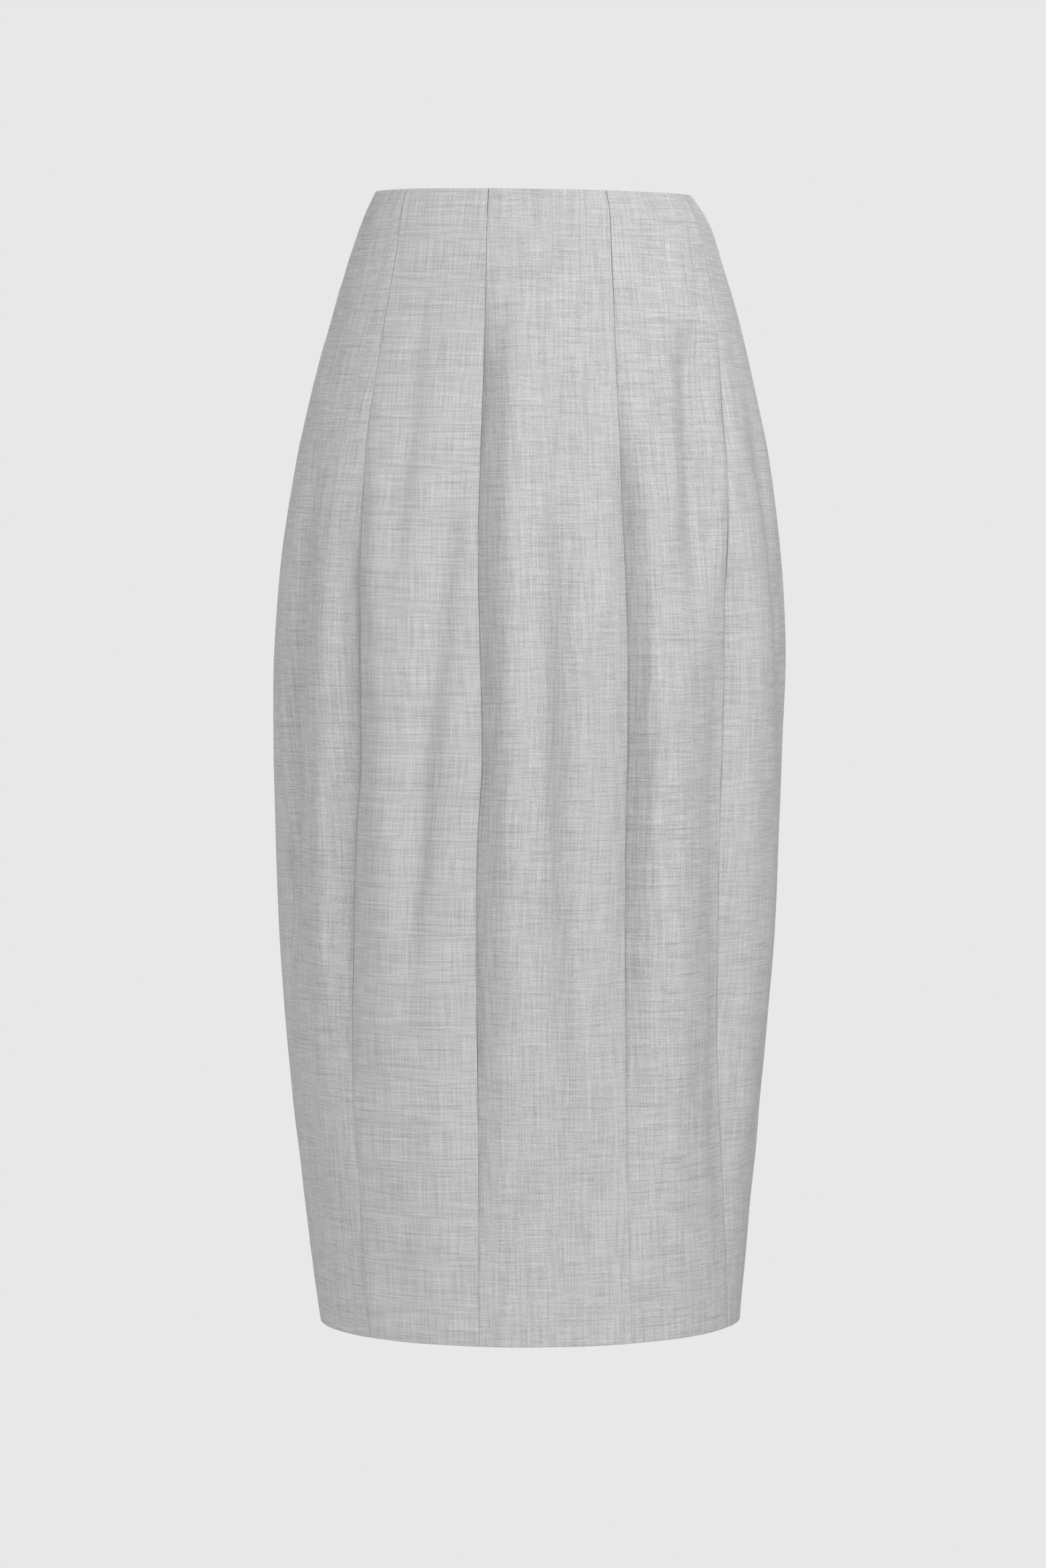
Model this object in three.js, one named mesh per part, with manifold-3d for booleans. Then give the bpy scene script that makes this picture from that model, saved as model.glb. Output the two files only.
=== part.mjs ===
// A high-waisted wool pencil skirt that bows out over the hips and draws in towards the knee.
//
// It hangs filled out and empty, as it does when worn, from the waist opening at z = 0.
// Units are millimetres. +Z is up, -Y is the front and +X is the wearer's left.
//
// Every point of the cloth is named by two numbers: its angle round the body, 0 at centre front,
// 90 at the wearer's left side, -90 at the right side and 180 at centre back, and how far it lies
// down the skirt. SECTIONS gives the oval at each height, SEAMS where the panels meet on it, and
// DIPS and FOLDS how the cloth sinks at the seams and in its soft hanging folds.

import * as THREE from 'three';
import { mergeVertices } from 'three/addons/utils/BufferGeometryUtils.js';
import Module from 'manifold-3d';

// Cloth
const LENGTH = 844; // waist edge to hem, down the side
const HEM_DROP = 4; // extra length at centre front
const WAIST_DIP = 3; // how far the waist edge dips at centre front
const WAIST_TILT = 1; // half the drop of the waist edge from right to left
const CLOTH = 1.5; // thickness of a panel
const GAP = 0.3; // running gap between pieces that are sewn or held together
const ROWS = 27; // bands of facets from waist to hem
const ROW_CROWDING = 1.3; // above 1, the bands are narrower near the waist, where it flares most
const SEAM_CROWDING = 0.5; // 0 spaces a panel's facets evenly, towards 1 they crowd at its seams

// Concealed zip in the centre back seam
const ZIP_LENGTH = 200;
const TAPE = { width: 12, thickness: 0.8, inset: 1.5, rows: 12 };
const COIL = { halfWidth: 1.2, thickness: 1.6, rows: 16 };
const HINGE_DOWN = 9; // how far below the waist edge the pull tab hangs from its bridge
const HINGE_OUT = 1.3; // how far the hinge line stands off the cloth
const SLOT = { halfWidth: 1.1, above: 2.6, below: 4.2, ramp: 0.5 }; // parting of the seam there
const SLIDER = { halfWidth: 3, thickness: 2.6, above: 3, below: 7, corner: 0.8 };
const NECK = { halfWidth: 0.7, above: 1.2, below: 3 };
const BRIDGE = { inner: 0.95, outer: 1.85, segments: 24 };
const PULL = { barHalf: 0.45, ringHalf: 2.2, holeHalf: 1.1, holeDepth: 3, length: 22, endRadius: 2.9 };

// The oval at each height: half widths to the wearer's right and left, half depths to front and back.
const SECTIONS = [
  { down: 0, right: 116, left: 120, front: 92, back: 92 },
  { down: 20, right: 125.5, left: 133, front: 95, back: 96 },
  { down: 50, right: 136, left: 143, front: 100, back: 103 },
  { down: 90, right: 148, left: 155, front: 107, back: 112 },
  { down: 140, right: 162, left: 167, front: 115, back: 123 },
  { down: 200, right: 176, left: 179.5, front: 124, back: 133 },
  { down: 270, right: 187.5, left: 189.5, front: 132, back: 141 },
  { down: 340, right: 193, left: 193, front: 137, back: 145 },
  { down: 410, right: 193.5, left: 190.5, front: 139, back: 146 },
  { down: 480, right: 192, left: 188, front: 139, back: 145 },
  { down: 560, right: 189, left: 184.5, front: 138, back: 142 },
  { down: 640, right: 183, left: 176.5, front: 136, back: 139 },
  { down: 720, right: 174.5, left: 168, front: 134, back: 135 },
  { down: 800, right: 164.5, left: 161, front: 131, back: 131 },
  { down: 844, right: 158.5, left: 157, front: 129, back: 128 },
];

// The angle of each seam, in degrees. R is the wearer's right, L the left. in, out and side are the
// inner, outer and side seams; backOut and backIn are the same on both sides, behind.
const SEAMS = [
  { down: 0, sideR: -91, outR: -58, inR: -21.5, inL: 21.5, outL: 65, sideL: 92, backOut: 124, backIn: 159 },
  { down: 50, sideR: -91, outR: -53, inR: -19.5, inL: 19, outL: 59.5, sideL: 92, backOut: 128, backIn: 161 },
  { down: 140, sideR: -91, outR: -50.5, inR: -18.3, inL: 17.1, outL: 52.8, sideL: 92, backOut: 130, backIn: 163 },
  { down: 270, sideR: -91, outR: -48.2, inR: -17.5, inL: 17.2, outL: 47.7, sideL: 93, backOut: 132, backIn: 164 },
  { down: 410, sideR: -84, outR: -47, inR: -16.3, inL: 17.4, outL: 46.8, sideL: 94, backOut: 133, backIn: 164 },
  { down: 480, sideR: -78, outR: -49.3, inR: -17.6, inL: 17.2, outL: 46.5, sideL: 94, backOut: 132, backIn: 164 },
  { down: 560, sideR: -80, outR: -51, inR: -18.1, inL: 17.2, outL: 47.3, sideL: 93, backOut: 131, backIn: 163 },
  { down: 640, sideR: -82.5, outR: -52.5, inR: -18.4, inL: 17.9, outL: 50.7, sideL: 92, backOut: 128, backIn: 162 },
  { down: 720, sideR: -85, outR: -52.8, inR: -18.8, inL: 19, outL: 56, sideL: 92, backOut: 125, backIn: 161 },
  { down: 844, sideR: -90, outR: -55.3, inR: -20, inL: 21.8, outL: 64, sideL: 92, backOut: 122, backIn: 159 },
];

// Dips and folds open from nothing at `start`, down the skirt, to their whole depth at `full`, and ease
// off from `ease` to `end`.
//
// A dip is deepest on its seam and reaches so many degrees to its left and right as seen from outside.
const DIPS = [
  { seam: 'inR', depth: 13, left: 12, right: 7.5, start: 45, full: 150, ease: 600, end: 900 },
  { seam: 'inL', depth: 12, left: 6, right: 6.5, start: 90, full: 260, ease: 440, end: 800 },
  { seam: 'outR', depth: 8, left: 9, right: 7, start: 140, full: 330, ease: 520, end: 740 },
  { seam: 'outL', depth: 3, left: 4, right: 3, start: 90, full: 180, ease: 300, end: 600 },
  { seam: 'sideR', depth: 2.5, left: 7, right: 7, start: 120, full: 300, ease: 480, end: 760 },
  { seam: 'sideL', depth: 2.5, left: 7, right: 7, start: 120, full: 260, ease: 520, end: 760 },
  { seam: 'backInR', depth: 9, left: 4, right: 9, start: 70, full: 160, ease: 480, end: 780 },
  { seam: 'backInL', depth: 7, left: 9, right: 4.5, start: 90, full: 190, ease: 480, end: 740 },
  { seam: 'backOutR', depth: 6, left: 6, right: 8, start: 130, full: 280, ease: 500, end: 720 },
  { seam: 'backOutL', depth: 5, left: 8, right: 5, start: 150, full: 300, ease: 520, end: 700 },
];
const DIP_SHARPNESS = 1.4; // 1 is a straight-sided valley, above 1 its shoulders round off

// A fold's middle line runs through the angles high, middle and low, at its start, half way and end.
// Its width is its half width in degrees. It sinks by its depth, or stands out where that is negative.
const FOLDS = [
  { start: 200, full: 340, ease: 620, end: 880, high: 49, middle: 46, low: 66, width: 7, depth: 12 },
  { start: 250, full: 390, ease: 600, end: 800, high: 28, middle: 28, low: 36, width: 6.5, depth: -9 },
  { start: 75, full: 150, ease: 240, end: 345, high: 44.5, middle: 38, low: 35, width: 5, depth: 12 },
  { start: 95, full: 165, ease: 230, end: 330, high: 34, middle: 28, low: 26, width: 4, depth: -4 },
  { start: 120, full: 220, ease: 300, end: 480, high: 68, middle: 71, low: 74, width: 6, depth: 7 },
  { start: 200, full: 340, ease: 600, end: 780, high: 7, middle: 4.5, low: 11, width: 4.5, depth: -8 },
  { start: 60, full: 120, ease: 480, end: 680, high: -9, middle: -10, low: -9, width: 3.5, depth: -6 },
  { start: 170, full: 280, ease: 440, end: 600, high: -3, middle: -3, low: -3, width: 3, depth: 3 },
  { start: 120, full: 220, ease: 480, end: 680, high: 21, middle: 22, low: 21, width: 3, depth: -3 },
  { start: 190, full: 280, ease: 480, end: 630, high: -24, middle: -29, low: -36, width: 4, depth: 8 },
  { start: 140, full: 230, ease: 330, end: 460, high: -31, middle: -34, low: -35, width: 4, depth: -4 },
  { start: 170, full: 260, ease: 420, end: 780, high: -46, middle: -39, low: -44, width: 5, depth: -6 },
  { start: 60, full: 110, ease: 170, end: 300, high: -39, middle: -37, low: -34, width: 3, depth: 3 },
  { start: 180, full: 280, ease: 480, end: 640, high: -70, middle: -72, low: -80, width: 4.5, depth: 9 },
  { start: 250, full: 340, ease: 520, end: 660, high: -57, middle: -58, low: -62, width: 4.5, depth: -5 },
  { start: 180, full: 300, ease: 460, end: 700, high: 82, middle: 80, low: 84, width: 6, depth: 4 },
  { start: 140, full: 260, ease: 430, end: 640, high: 110, middle: 115, low: 109, width: 5, depth: 7 },
  { start: 220, full: 340, ease: 520, end: 760, high: 121, middle: 124, low: 121, width: 5, depth: -5 },
  { start: 190, full: 320, ease: 500, end: 800, high: 146, middle: 150, low: 142, width: 5, depth: 10 },
  { start: 160, full: 260, ease: 480, end: 700, high: 157, middle: 158, low: 155, width: 3.5, depth: -4 },
  { start: 230, full: 330, ease: 520, end: 740, high: 172, middle: 170, low: 173, width: 4, depth: 5 },
  { start: 250, full: 370, ease: 560, end: 780, high: -171, middle: -174, low: -170, width: 4.5, depth: 7 },
  { start: 150, full: 240, ease: 420, end: 610, high: -152, middle: -146, low: -150, width: 5, depth: 8.5 },
  { start: 210, full: 330, ease: 500, end: 690, high: -139, middle: -137, low: -140, width: 5, depth: -4 },
  { start: 120, full: 230, ease: 420, end: 650, high: -116, middle: -110, low: -117, width: 6, depth: 7.5 },
];

// The panels, each from one seam to the next, and how many facets wide each is.
const PANELS = [
  { name: 'front_centre', from: 'inR', to: 'inL', columns: 14 },
  { name: 'front_mid_left', from: 'inL', to: 'outL', columns: 13 },
  { name: 'front_mid_right', from: 'outR', to: 'inR', columns: 13 },
  { name: 'front_side_left', from: 'outL', to: 'sideL', columns: 12 },
  { name: 'front_side_right', from: 'sideR', to: 'outR', columns: 12 },
  { name: 'back_side_left', from: 'sideL', to: 'backOutL', columns: 9 },
  { name: 'back_side_right', from: 'backOutR', to: 'sideR', columns: 9 },
  { name: 'back_mid_left', from: 'backOutL', to: 'backInL', columns: 9 },
  { name: 'back_mid_right', from: 'backInR', to: 'backOutR', columns: 9 },
  { name: 'back_centre_left', from: 'backInL', to: 'centreL', columns: 6 },
  { name: 'back_centre_right', from: 'centreR', to: 'backInR', columns: 6 },
];

const { clamp, degToRad, lerp, smoothstep } = THREE.MathUtils;

// ---- The form of the cloth ----

// A smooth curve through one column of a table, read at a height.
function curve(rows, column, down) {
  const last = rows.length - 1;
  let i = 0;
  while (i < last - 1 && down > rows[i + 1].down) i += 1;
  const slope = (k) => {
    const before = rows[Math.max(k - 1, 0)];
    const after = rows[Math.min(k + 1, last)];
    return (after[column] - before[column]) / (after.down - before.down);
  };
  const span = rows[i + 1].down - rows[i].down;
  const t = clamp((down - rows[i].down) / span, 0, 1);
  const start = rows[i][column] * (1 + 2 * t) * (1 - t) ** 2 + slope(i) * span * t * (1 - t) ** 2;
  const end = rows[i + 1][column] * t * t * (3 - 2 * t) - slope(i + 1) * span * t * t * (1 - t);
  return start + end;
}

const BEHIND = {
  backOutL: ['backOut', 1],
  backOutR: ['backOut', -1],
  backInL: ['backIn', 1],
  backInR: ['backIn', -1],
};

function seamAngle(seam, down) {
  if (seam === 'centreL') return 180;
  if (seam === 'centreR') return -180;
  const [column, side] = BEHIND[seam] ?? [seam, 1];
  return side * curve(SEAMS, column, down);
}

// The shorter way round from one angle to another.
function turn(from, to) {
  return ((((to - from + 180) % 360) + 360) % 360) - 180;
}

const bell = (distance, width) => Math.exp(-((distance / width) ** 2));

const comeAndGo = (down, { start, full, ease, end }) =>
  smoothstep(down, start, full) * (1 - smoothstep(down, ease, end));

// 1 on the seam, falling away on each side.
function dipShape(across, left, right) {
  const reach = across < 0 ? left : right;
  return Math.max(1 - Math.abs(across) / reach, 0) ** DIP_SHARPNESS;
}

// How far the cloth stands out from the plain oval; dips and folds make it less than zero.
function relief(angle, down) {
  let out = 0;
  for (const dip of DIPS) {
    const across = turn(seamAngle(dip.seam, down), angle);
    out -= dip.depth * comeAndGo(down, dip) * dipShape(across, dip.left, dip.right);
  }
  for (const fold of FOLDS) {
    const t = clamp((down - fold.start) / (fold.end - fold.start), 0, 1);
    const bow = fold.middle - (fold.high + fold.low) / 2;
    const path = lerp(fold.high, fold.low, t) + 4 * bow * t * (1 - t);
    out -= fold.depth * comeAndGo(down, fold) * bell(turn(path, angle), fold.width);
  }
  return out;
}

function halfAxes(angle, down) {
  const side = Math.sin(degToRad(angle)) < 0 ? 'right' : 'left';
  const face = Math.cos(degToRad(angle)) < 0 ? 'back' : 'front';
  return { across: curve(SECTIONS, side, down), deep: curve(SECTIONS, face, down) };
}

// Millimetres round the oval for each degree of angle.
function arcPerDegree(angle, down) {
  const { across, deep } = halfAxes(angle, down);
  return degToRad(Math.hypot(across * Math.cos(degToRad(angle)), deep * Math.sin(degToRad(angle))));
}

// The height of a point: the waist edge dips in front and tilts, and the hem drops in front.
function height(angle, down) {
  const facing = Math.max(Math.cos(degToRad(angle)), 0);
  const top = -WAIST_DIP * facing - WAIST_TILT * (1 + Math.sin(degToRad(angle)));
  return lerp(top, -LENGTH - HEM_DROP * facing, down / LENGTH);
}

// A point of the cloth, or of what lies `inward` millimetres inside its outer face.
function clothPoint(angle, down, inward = 0) {
  const { across, deep } = halfAxes(angle, down);
  const radians = degToRad(angle);
  const oval = new THREE.Vector2(across * Math.sin(radians), -deep * Math.cos(radians));
  const normal = new THREE.Vector2(Math.sin(radians) / across, -Math.cos(radians) / deep).normalize();
  oval.addScaledVector(normal, relief(angle, down) - inward);
  return new THREE.Vector3(oval.x, oval.y, height(angle, down));
}

// ---- Solids ----

// A closed wall between two grids of points, both read left to right and downwards from outside.
function wall(outer, inner) {
  const rows = outer.length;
  const columns = outer[0].length;
  const points = [...outer.flat(), ...inner.flat()];
  const at = (row, column) => row * columns + column;
  const under = rows * columns;
  const triangles = [];
  for (let row = 0; row < rows - 1; row += 1) {
    for (let column = 0; column < columns - 1; column += 1) {
      const [a, b] = [at(row, column), at(row + 1, column)];
      const [c, d] = [at(row + 1, column + 1), at(row, column + 1)];
      triangles.push(a, b, c, a, c, d);
      triangles.push(under + a, under + c, under + b, under + a, under + d, under + c);
    }
  }
  const rim = [];
  for (let row = 0; row < rows - 1; row += 1) rim.push(at(row, 0));
  for (let column = 0; column < columns - 1; column += 1) rim.push(at(rows - 1, column));
  for (let row = rows - 1; row > 0; row -= 1) rim.push(at(row, columns - 1));
  for (let column = columns - 1; column > 0; column -= 1) rim.push(at(0, column));
  rim.forEach((p, k) => {
    const q = rim[(k + 1) % rim.length];
    triangles.push(q, p, under + p, q, under + p, under + q);
  });
  const geometry = new THREE.BufferGeometry().setFromPoints(points);
  geometry.setIndex(triangles);
  geometry.computeVertexNormals();
  return geometry;
}

// A grid of points from a list of heights and a function that gives the points across each.
const grid = (downs, across) => downs.map(across);

// Half the parting between two panels at a seam; the centre back seam opens round the slider.
function halfParting(seam, down) {
  if (seam !== 'centreL' && seam !== 'centreR') return GAP / 2;
  const opens = smoothstep(down, HINGE_DOWN - SLOT.above - SLOT.ramp, HINGE_DOWN - SLOT.above);
  const closes = smoothstep(down, HINGE_DOWN + SLOT.below, HINGE_DOWN + SLOT.below + SLOT.ramp);
  return lerp(GAP / 2, SLOT.halfWidth, opens - closes);
}

const evenSteps = (from, to, count) => Array.from({ length: count + 1 }, (_, i) => lerp(from, to, i / count));
const PANEL_DOWNS = evenSteps(0, 1, ROWS).map((t) => LENGTH * t ** ROW_CROWDING);
const SLOT_DOWNS = [
  HINGE_DOWN - SLOT.above - SLOT.ramp,
  HINGE_DOWN - SLOT.above,
  HINGE_DOWN + SLOT.below,
  HINGE_DOWN + SLOT.below + SLOT.ramp,
];

// Moves an even share of a panel's width towards the nearer seam.
const crowded = (share) => share - (SEAM_CROWDING * Math.sin(2 * Math.PI * share)) / (2 * Math.PI);

function panel({ from, to, columns }) {
  const atZip = from === 'centreR' || to === 'centreL';
  const downs = atZip ? [...PANEL_DOWNS, ...SLOT_DOWNS].sort((a, b) => a - b) : PANEL_DOWNS;
  const shares = evenSteps(0, 1, columns).map(crowded);
  const layer = (inward) => grid(downs, (down) => {
    const edge = (seam, side) => {
      const angle = seamAngle(seam, down);
      return angle + side * (halfParting(seam, down) / arcPerDegree(angle, down));
    };
    const [start, end] = [edge(from, 1), edge(to, -1)];
    return shares.map((share) => clothPoint(lerp(start, end, share), down, inward));
  });
  return wall(layer(0), layer(CLOTH));
}

// A strip inside the centre back seam, between two distances to the wearer's left of it.
function backStrip(near, far, fromDown, toDown, inward, thickness, rows) {
  const downs = evenSteps(fromDown, toDown, rows);
  const layer = (depth) => grid(downs, (down) => {
    const perDegree = arcPerDegree(180, down);
    return [far, near].map((across) => clothPoint(180 - across / perDegree, down, depth));
  });
  return wall(layer(inward), layer(inward + thickness));
}

// The frame of the slider: origin on the cloth at the hinge's height, +Y straight out of the cloth
// and +Z up along it.
const hingeFoot = clothPoint(180, HINGE_DOWN);
const above = clothPoint(180, 0);
const lean = Math.atan2(hingeFoot.y - above.y, above.z - hingeFoot.z);
const zipFrame = new THREE.Group();
zipFrame.position.copy(hingeFoot);
zipFrame.rotation.x = lean;

// Extrudes a Y-Z profile sideways, centred on X.
function sideways(shape, halfWidth, segments) {
  const geometry = new THREE.ExtrudeGeometry(shape, {
    depth: 2 * halfWidth,
    bevelEnabled: false,
    curveSegments: segments,
  });
  geometry.translate(0, 0, -halfWidth);
  geometry.applyMatrix4(new THREE.Matrix4().set(0, 0, 1, 0, 1, 0, 0, 0, 0, 1, 0, 0, 0, 0, 0, 1));
  return geometry;
}

function roundedBox(x0, y0, x1, y1, r) {
  const shape = new THREE.Shape();
  shape.moveTo(x0 + r, y0).lineTo(x1 - r, y0).absarc(x1 - r, y0 + r, r, -Math.PI / 2, 0);
  shape.lineTo(x1, y1 - r).absarc(x1 - r, y1 - r, r, 0, Math.PI / 2);
  shape.lineTo(x0 + r, y1).absarc(x0 + r, y1 - r, r, Math.PI / 2, Math.PI);
  shape.lineTo(x0, y0 + r).absarc(x0 + r, y0 + r, r, Math.PI, 1.5 * Math.PI);
  return shape;
}

const wasm = await Module();
wasm.setup();

function toSolid(geometry) {
  const bare = geometry.clone();
  bare.deleteAttribute('normal');
  bare.deleteAttribute('uv');
  const merged = mergeVertices(bare);
  return new wasm.Manifold(new wasm.Mesh({
    numProp: 3,
    vertProperties: new Float32Array(merged.attributes.position.array),
    triVerts: new Uint32Array(merged.index.array),
  }));
}

function fromSolid(solid) {
  const mesh = solid.getMesh();
  const geometry = new THREE.BufferGeometry();
  geometry.setAttribute('position', new THREE.BufferAttribute(mesh.vertProperties, 3));
  geometry.setIndex(new THREE.BufferAttribute(mesh.triVerts, 1));
  geometry.computeVertexNormals();
  return geometry;
}

// The slider's body lies behind the tapes; a narrow neck carries its bridge out through the seam.
function sliderGeometry() {
  const bodyOut = -CLOTH - 2 * GAP - TAPE.thickness - GAP;
  const body = roundedBox(bodyOut - SLIDER.thickness, -SLIDER.below, bodyOut, SLIDER.above, SLIDER.corner);
  const neck = roundedBox(bodyOut - SLIDER.corner, -NECK.below, 0, NECK.above, GAP);
  const ring = new THREE.Shape().absarc(HINGE_OUT, 0, BRIDGE.outer, 0, 2 * Math.PI);
  ring.holes.push(new THREE.Path().absarc(HINGE_OUT, 0, BRIDGE.inner, 0, 2 * Math.PI, true));
  const parts = [
    sideways(body, SLIDER.halfWidth, 3),
    sideways(neck, NECK.halfWidth, 2),
    sideways(ring, NECK.halfWidth, BRIDGE.segments / 2),
  ];
  return fromSolid(parts.map(toSolid).reduce((whole, part) => whole.add(part)));
}

// A flat tab with a ring at its top, whose bar lies inside the bridge on the hinge line.
function pullGeometry() {
  const tip = -PULL.length + PULL.endRadius;
  const outline = new THREE.Shape();
  outline.moveTo(PULL.ringHalf, PULL.barHalf).lineTo(-PULL.ringHalf, PULL.barHalf);
  outline.lineTo(-PULL.ringHalf, -PULL.holeDepth);
  outline.bezierCurveTo(-PULL.ringHalf, tip / 2, -PULL.endRadius, tip / 2, -PULL.endRadius, tip);
  outline.absarc(0, tip, PULL.endRadius, Math.PI, 2 * Math.PI);
  outline.bezierCurveTo(PULL.endRadius, tip / 2, PULL.ringHalf, tip / 2, PULL.ringHalf, -PULL.holeDepth);
  outline.holes.push(roundedBox(-PULL.holeHalf, -PULL.holeDepth, PULL.holeHalf, -PULL.barHalf, GAP));
  const plate = new THREE.ExtrudeGeometry(outline, {
    depth: 2 * PULL.barHalf,
    bevelEnabled: false,
    curveSegments: 8,
  });
  plate.translate(0, 0, -PULL.barHalf);
  plate.rotateX(Math.PI / 2);
  plate.translate(0, HINGE_OUT, 0);
  return plate;
}

// ---- The skirt ----

const wool = () => new THREE.MeshStandardMaterial({ color: '#c3c1be', roughness: 0.9, metalness: 0 });
const tapeCloth = () => new THREE.MeshStandardMaterial({ color: '#b3b1ae', roughness: 0.85, metalness: 0 });
const nylon = () => new THREE.MeshStandardMaterial({ color: '#b3b1ae', roughness: 0.5, metalness: 0 });
const lacquer = () => new THREE.MeshStandardMaterial({ color: '#b3b1ae', roughness: 0.35, metalness: 0.4 });

function named(name, geometry, material) {
  const mesh = new THREE.Mesh(geometry, material);
  mesh.name = name;
  return mesh;
}

const skirt = new THREE.Group();
for (const each of PANELS) skirt.add(named(each.name, panel(each), wool()));

const tapeInward = CLOTH + GAP;
const tapeFar = TAPE.inset + TAPE.width;
const tape = (near, far) => backStrip(near, far, GAP, ZIP_LENGTH, tapeInward, TAPE.thickness, TAPE.rows);
skirt.add(named('zip_tape_left', tape(TAPE.inset, tapeFar), tapeCloth()));
skirt.add(named('zip_tape_right', tape(-tapeFar, -TAPE.inset), tapeCloth()));

const coilTop = HINGE_DOWN + SLIDER.below + 2 * GAP;
const { halfWidth, thickness, rows } = COIL;
const coil = backStrip(-halfWidth, halfWidth, coilTop, ZIP_LENGTH, tapeInward, thickness, rows);
skirt.add(named('zip_coil', coil, nylon()));

zipFrame.add(named('zip_slider', sliderGeometry(), lacquer()));
zipFrame.add(named('zip_pull', pullGeometry(), lacquer()));
skirt.add(zipFrame);

export default skirt;
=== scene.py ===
# %% [markdown]
# # A panelled pencil skirt in melange wool
#
# The skirt is eleven panels of wool suiting, sewn side by side into a tube that bows out over the
# hips and draws in towards the hem. It hangs filled out, as on a body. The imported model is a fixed
# frame: it says where each panel lies, and everything here is built around it, in metres.

# %% Load the frame
import math

import bpy
import numpy as np
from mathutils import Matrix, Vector


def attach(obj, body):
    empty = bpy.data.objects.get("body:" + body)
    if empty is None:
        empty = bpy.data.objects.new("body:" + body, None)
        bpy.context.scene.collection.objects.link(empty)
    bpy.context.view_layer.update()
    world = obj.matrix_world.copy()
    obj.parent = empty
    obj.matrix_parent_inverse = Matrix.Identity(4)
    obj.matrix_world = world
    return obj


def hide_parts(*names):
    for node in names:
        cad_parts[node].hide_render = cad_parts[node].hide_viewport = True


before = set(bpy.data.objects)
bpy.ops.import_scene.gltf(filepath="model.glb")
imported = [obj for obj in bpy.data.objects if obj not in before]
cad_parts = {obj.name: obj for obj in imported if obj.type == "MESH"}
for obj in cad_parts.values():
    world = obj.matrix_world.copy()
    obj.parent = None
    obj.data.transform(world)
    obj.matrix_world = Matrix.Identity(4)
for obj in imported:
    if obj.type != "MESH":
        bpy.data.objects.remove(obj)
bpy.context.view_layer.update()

# %% [markdown]
# ## The form of the cloth
#
# A tailor thinks of a skirt as a girth at each height. So a point of the cloth has two numbers: its
# angle round the body, 0 at centre front and 90 at the wearer's left, and how far it lies down the
# skirt. Four short tables turn those two numbers into a place: the oval at each height, the angle of
# each seam, the dip along each seam, and the soft folds that hang between them. All are in mm and
# degrees, and every piece of cloth and zip below is made from this one form.

# %% Sizes of the form
MM = 0.001
LENGTH = 844  # waist edge to hem, down the side
HEM_DROP = 4  # extra length at centre front
WAIST_DIP = 3  # how far the waist edge dips at centre front
WAIST_TILT = 1  # half the drop of the waist edge from right to left

SECTION_COLUMNS = ("down", "right", "left", "front", "back")
SECTIONS = (
    (0, 116, 120, 92, 92),
    (20, 125.5, 133, 95, 96),
    (50, 136, 143, 100, 103),
    (90, 148, 155, 107, 112),
    (140, 162, 167, 115, 123),
    (200, 176, 179.5, 124, 133),
    (270, 187.5, 189.5, 132, 141),
    (340, 193, 193, 137, 145),
    (410, 193.5, 190.5, 139, 146),
    (480, 192, 188, 139, 145),
    (560, 189, 184.5, 138, 142),
    (640, 183, 176.5, 136, 139),
    (720, 174.5, 168, 134, 135),
    (800, 164.5, 161, 131, 131),
    (844, 158.5, 157, 129, 128),
)
SEAM_COLUMNS = ("down", "sideR", "outR", "inR", "inL", "outL", "sideL", "backOut", "backIn")
SEAMS = (
    (0, -91, -58, -21.5, 21.5, 65, 92, 124, 159),
    (50, -91, -53, -19.5, 19, 59.5, 92, 128, 161),
    (140, -91, -50.5, -18.3, 17.1, 52.8, 92, 130, 163),
    (270, -91, -48.2, -17.5, 17.2, 47.7, 93, 132, 164),
    (410, -84, -47, -16.3, 17.4, 46.8, 94, 133, 164),
    (480, -78, -49.3, -17.6, 17.2, 46.5, 94, 132, 164),
    (560, -80, -51, -18.1, 17.2, 47.3, 93, 131, 163),
    (640, -82.5, -52.5, -18.4, 17.9, 50.7, 92, 128, 162),
    (720, -85, -52.8, -18.8, 19, 56, 92, 125, 161),
    (844, -90, -55.3, -20, 21.8, 64, 92, 122, 159),
)
BEHIND = {
    "backOutL": ("backOut", 1),
    "backOutR": ("backOut", -1),
    "backInL": ("backIn", 1),
    "backInR": ("backIn", -1),
}

print("skirt", LENGTH, "mm long:", len(SECTIONS), "ovals,", len(SEAMS), "rows of seam angles")

# %% Dips along the seams and soft folds between them
# Each opens from nothing at `start` to its full depth at `full`, and eases off from `ease` to `end`.
# A dip is as deep as it gets on its seam, and reaches so many degrees to its left and right as seen
# from outside.
DIP_COLUMNS = ("seam", "depth", "left", "right", "start", "full", "ease", "end")
DIPS = (
    ("inR", 13, 12, 7.5, 45, 150, 600, 900),
    ("inL", 12, 6, 5.2, 90, 260, 440, 800),
    ("outR", 8, 9, 7, 140, 330, 520, 740),
    ("outL", 3, 4, 3, 90, 180, 300, 600),
    ("sideR", 2.5, 7, 7, 120, 300, 480, 760),
    ("sideL", 2.5, 7, 7, 120, 260, 520, 760),
    ("backInR", 9, 4, 9, 70, 160, 480, 780),
    ("backInL", 7, 9, 4.5, 90, 190, 480, 740),
    ("backOutR", 6, 6, 8, 130, 280, 500, 720),
    ("backOutL", 5, 8, 5, 150, 300, 520, 700),
)
DIP_SHARPNESS = 1.4  # 1 is a straight-sided valley, above 1 its shoulders round off

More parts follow.
